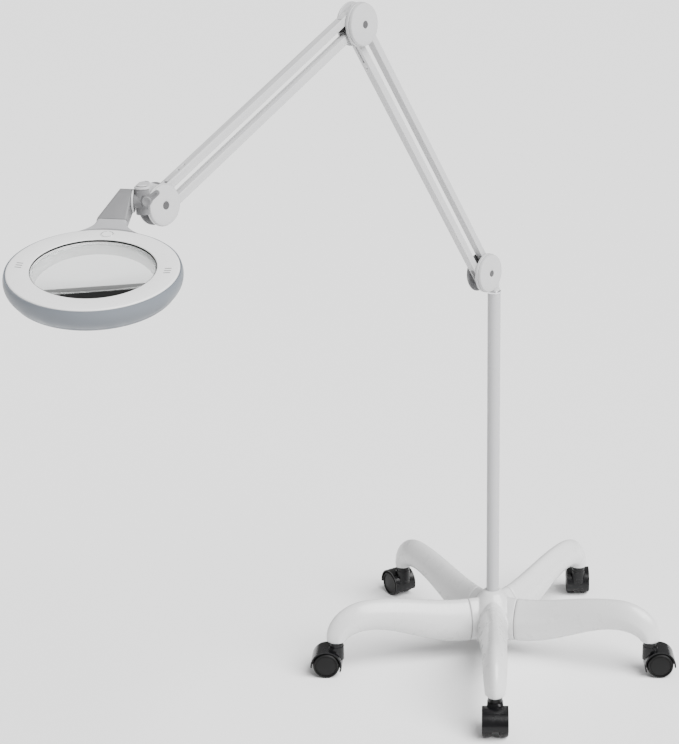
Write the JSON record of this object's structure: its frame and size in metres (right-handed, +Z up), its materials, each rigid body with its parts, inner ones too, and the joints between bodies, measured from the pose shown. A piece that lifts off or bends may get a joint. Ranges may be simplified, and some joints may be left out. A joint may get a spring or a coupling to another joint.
{
  "type": "magnifying lamp",
  "caption": "Round illuminated magnifier on a two-part parallel-bar arm, carried by a pole on a rolling star base with swivelling casters.",
  "frame": {"origin": "on the floor, on the axis of the pole", "axes": "+Z up along the pole; -Y along the leg that points to the front; the arm leans out over -X and -Y"},
  "size_m": [0.9471, 1.2312, 1.2161],
  "materials": {
    "leg_plastic": "glossy white moulding",
    "pole_paint": "light grey satin powder coat",
    "arm_paint": "white satin powder coat",
    "bright_chrome": "polished chrome",
    "joint_plastic": "mid grey satin moulding",
    "yoke_paint": "mid grey satin die casting",
    "black_plastic": "glossy black moulding",
    "bumper_rubber": "matt black rubber",
    "wheel_plastic": "satin black nylon tread",
    "pin_steel": "bright zinc-plated steel",
    "spring_steel": "oiled spring wire",
    "ballast_iron": "rough cast iron",
    "head_white": "glossy white moulding",
    "head_skirt": "blue grey moulding",
    "neck_plastic": "light grey moulding",
    "ring_grey": "light grey moulding",
    "lens_glass": "clear ground glass",
    "board_white": "white solder mask",
    "diffuser_opal": "opal light panel"
  },
  "bodies": {
    "stand": {"base_hub": "leg_plastic", "ballast": "ballast_iron", "leg_1": "leg_plastic", "leg_2": "leg_plastic", "leg_3": "leg_plastic", "leg_4": "leg_plastic", "leg_5": "leg_plastic", "pole_tube": "pole_paint", "pole_collar": "bright_chrome"},
    "caster_1_fork": {"caster_1_stem": "pin_steel", "caster_1_hood": "black_plastic"},
    "caster_1_wheel_a": {"caster_1_wheel_a": "wheel_plastic"},
    "caster_1_wheel_b": {"caster_1_wheel_b": "wheel_plastic"},
    "caster_2_fork": {"caster_2_stem": "pin_steel", "caster_2_hood": "black_plastic"},
    "caster_2_wheel_a": {"caster_2_wheel_a": "wheel_plastic"},
    "caster_2_wheel_b": {"caster_2_wheel_b": "wheel_plastic"},
    "caster_3_fork": {"caster_3_stem": "pin_steel", "caster_3_hood": "black_plastic"},
    "caster_3_wheel_a": {"caster_3_wheel_a": "wheel_plastic"},
    "caster_3_wheel_b": {"caster_3_wheel_b": "wheel_plastic"},
    "caster_4_fork": {"caster_4_stem": "pin_steel", "caster_4_hood": "black_plastic"},
    "caster_4_wheel_a": {"caster_4_wheel_a": "wheel_plastic"},
    "caster_4_wheel_b": {"caster_4_wheel_b": "wheel_plastic"},
    "caster_5_fork": {"caster_5_stem": "pin_steel", "caster_5_hood": "black_plastic"},
    "caster_5_wheel_a": {"caster_5_wheel_a": "wheel_plastic"},
    "caster_5_wheel_b": {"caster_5_wheel_b": "wheel_plastic"},
    "turret": {"shoulder_bracket": "arm_paint", "shoulder_disc_front": "arm_paint", "shoulder_disc_rear": "joint_plastic", "shoulder_cap": "joint_plastic"},
    "lower_bar_1": {"lower_arm_bar_1": "arm_paint", "lower_arm_spring": "spring_steel"},
    "lower_bar_2": {"lower_arm_bar_2": "arm_paint"},
    "elbow": {"elbow_disc_front": "arm_paint", "elbow_disc_rear": "arm_paint", "elbow_cap": "joint_plastic"},
    "upper_bar_1": {"upper_arm_bar_1": "arm_paint", "upper_arm_spring": "spring_steel", "elbow_bumper": "bumper_rubber"},
    "upper_bar_2": {"upper_arm_bar_2": "arm_paint"},
    "wrist": {"wrist_bracket": "arm_paint", "wrist_disc_front": "arm_paint", "wrist_disc_rear": "joint_plastic", "wrist_cap": "joint_plastic"},
    "head_mount": {"swivel_block": "yoke_paint", "swivel_cap": "arm_paint", "swivel_collar": "arm_paint"},
    "knob": {"tilt_knob": "yoke_paint"},
    "head": {"head_yoke": "yoke_paint", "head_neck": "neck_plastic", "head_housing": "head_skirt", "head_bezel": "head_white", "lens_ring": "ring_grey", "lens": "lens_glass", "led_board": "board_white", "light_diffuser": "diffuser_opal"},
    "button": {"power_button": "head_white"}
  },
  "joints": [
    {"name": "caster_1_swivel", "type": "hinge", "parent": "stand", "child": "caster_1_fork", "pos_m": [0, -0.3, 0.08], "axis": [0, 0, 1], "continuous": true},
    {"name": "caster_1_roll_a", "type": "hinge", "parent": "caster_1_fork", "child": "caster_1_wheel_a", "pos_m": [0, -0.318, 0.024], "axis": [1, 0, 0], "continuous": true},
    {"name": "caster_1_roll_b", "type": "hinge", "parent": "caster_1_fork", "child": "caster_1_wheel_b", "pos_m": [0, -0.318, 0.024], "axis": [1, 0, 0], "continuous": true},
    {"name": "caster_2_swivel", "type": "hinge", "parent": "stand", "child": "caster_2_fork", "pos_m": [0.28532, -0.0927, 0.08], "axis": [0, 0, 1], "continuous": true},
    {"name": "caster_2_roll_a", "type": "hinge", "parent": "caster_2_fork", "child": "caster_2_wheel_a", "pos_m": [0.30332, -0.0927, 0.024], "axis": [0, 1, 0], "continuous": true},
    {"name": "caster_2_roll_b", "type": "hinge", "parent": "caster_2_fork", "child": "caster_2_wheel_b", "pos_m": [0.30332, -0.0927, 0.024], "axis": [0, 1, 0], "continuous": true},
    {"name": "caster_3_swivel", "type": "hinge", "parent": "stand", "child": "caster_3_fork", "pos_m": [0.17634, 0.24271, 0.08], "axis": [0, 0, 1], "continuous": true},
    {"name": "caster_3_roll_a", "type": "hinge", "parent": "caster_3_fork", "child": "caster_3_wheel_a", "pos_m": [0.17634, 0.26071, 0.024], "axis": [-1, 0, 0], "continuous": true},
    {"name": "caster_3_roll_b", "type": "hinge", "parent": "caster_3_fork", "child": "caster_3_wheel_b", "pos_m": [0.17634, 0.26071, 0.024], "axis": [-1, 0, 0], "continuous": true},
    {"name": "caster_4_swivel", "type": "hinge", "parent": "stand", "child": "caster_4_fork", "pos_m": [-0.17634, 0.24271, 0.08], "axis": [0, 0, 1], "continuous": true},
    {"name": "caster_4_roll_a", "type": "hinge", "parent": "caster_4_fork", "child": "caster_4_wheel_a", "pos_m": [-0.18692, 0.25727, 0.024], "axis": [-0.809, -0.5878, 0], "continuous": true},
    {"name": "caster_4_roll_b", "type": "hinge", "parent": "caster_4_fork", "child": "caster_4_wheel_b", "pos_m": [-0.18692, 0.25727, 0.024], "axis": [-0.809, -0.5878, 0], "continuous": true},
    {"name": "caster_5_swivel", "type": "hinge", "parent": "stand", "child": "caster_5_fork", "pos_m": [-0.28532, -0.0927, 0.08], "axis": [0, 0, 1], "continuous": true},
    {"name": "caster_5_roll_a", "type": "hinge", "parent": "caster_5_fork", "child": "caster_5_wheel_a", "pos_m": [-0.30332, -0.0927, 0.024], "axis": [0, -1, 0], "continuous": true},
    {"name": "caster_5_roll_b", "type": "hinge", "parent": "caster_5_fork", "child": "caster_5_wheel_b", "pos_m": [-0.30332, -0.0927, 0.024], "axis": [0, -1, 0], "continuous": true},
    {"name": "arm_swivel", "type": "hinge", "parent": "stand", "child": "turret", "pos_m": [0, 0, 0.69], "axis": [0, 0, 1], "continuous": true},
    {"name": "lower_arm_lift", "type": "hinge", "parent": "turret", "child": "lower_bar_1", "pos_m": [-0.01675, -0.01285, 0.75261], "axis": [-0.809, 0.5878, 0], "range_deg": [-45, 32]},
    {"name": "lower_bar_2_follow", "type": "hinge", "parent": "turret", "child": "lower_bar_2", "pos_m": [-0.02352, -0.02217, 0.71819], "axis": [-0.809, 0.5878, 0], "range_deg": [-45, 32]},
    {"name": "elbow_level", "type": "hinge", "parent": "lower_bar_1", "child": "elbow", "pos_m": [-0.21412, -0.2845, 1.20639], "axis": [-0.809, 0.5878, 0], "range_deg": [-32, 45]},
    {"name": "upper_arm_lift", "type": "hinge", "parent": "elbow", "child": "upper_bar_1", "pos_m": [-0.21412, -0.2845, 1.20639], "axis": [-0.809, 0.5878, 0], "range_deg": [-14, 70]},
    {"name": "upper_bar_2_follow", "type": "hinge", "parent": "elbow", "child": "upper_bar_2", "pos_m": [-0.22089, -0.29382, 1.17196], "axis": [-0.809, 0.5878, 0], "range_deg": [-14, 70]},
    {"name": "wrist_level", "type": "hinge", "parent": "upper_bar_1", "child": "wrist", "pos_m": [-0.4578, -0.61989, 0.99424], "axis": [-0.809, 0.5878, 0], "range_deg": [-70, 14]},
    {"name": "head_swivel", "type": "hinge", "parent": "wrist", "child": "head_mount", "pos_m": [-0.47263, -0.67433, 0.97703], "axis": [0, 0, 1], "range_deg": [-35, 45]},
    {"name": "head_tilt", "type": "hinge", "parent": "head_mount", "child": "head", "pos_m": [-0.47263, -0.67433, 0.99093], "axis": [-0.9991, -0.0103, 0.0406], "range_deg": [-60, 50]},
    {"name": "tilt_knob_turn", "type": "hinge", "parent": "head_mount", "child": "knob", "pos_m": [-0.46113, -0.69613, 0.99713], "axis": [0, -1, 0], "range_deg": [-90, 60]},
    {"name": "power_button_press", "type": "slide", "parent": "head", "child": "button", "axis": [-0.0419, 0.2468, -0.9682], "range_m": [0, 0.0012], "stiffness_N_per_m": 600}
  ],
  "couplings": [
    {"joint": "lower_bar_2_follow", "follows": "lower_arm_lift", "ratio": 1},
    {"joint": "elbow_level", "follows": "lower_arm_lift", "ratio": -1},
    {"joint": "upper_bar_2_follow", "follows": "upper_arm_lift", "ratio": 1},
    {"joint": "wrist_level", "follows": "upper_arm_lift", "ratio": -1}
  ]
}
